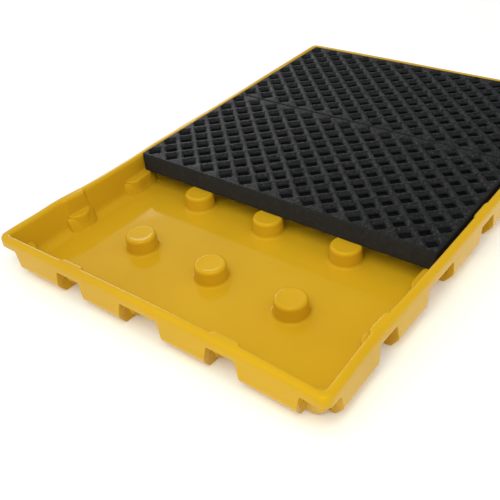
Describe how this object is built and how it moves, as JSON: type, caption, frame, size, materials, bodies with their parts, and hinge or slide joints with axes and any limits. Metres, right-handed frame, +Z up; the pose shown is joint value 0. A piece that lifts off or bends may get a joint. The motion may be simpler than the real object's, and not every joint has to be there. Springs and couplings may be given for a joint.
{
  "type": "spill containment pallet",
  "caption": "Low moulded sump tray with conical posts that carry drop-in grating panels for drums; the front bay is left open.",
  "frame": {"origin": "on the ground under the centre of the tray's plan", "axes": "+Z up; +Y along the long side, from the open bay towards the covered end; +X to the right seen from the open end"},
  "size_m": [1.245, 1.854, 0.1397],
  "materials": {
    "tray": "glossy moulded polyethylene",
    "grating": "rough recycled plastic"
  },
  "bodies": {
    "tray": {"sump_tray": "tray", "support_posts": "tray"},
    "grate_middle": {"grate_middle": "grating"},
    "grate_rear": {"grate_rear": "grating"}
  },
  "joints": [
    {"name": "grate_middle_lift", "type": "slide", "parent": "tray", "child": "grate_middle", "axis": [0, 0, 1], "range_m": [0, 0.2]},
    {"name": "grate_rear_lift", "type": "slide", "parent": "tray", "child": "grate_rear", "axis": [0, 0, 1], "range_m": [0, 0.2]}
  ]
}
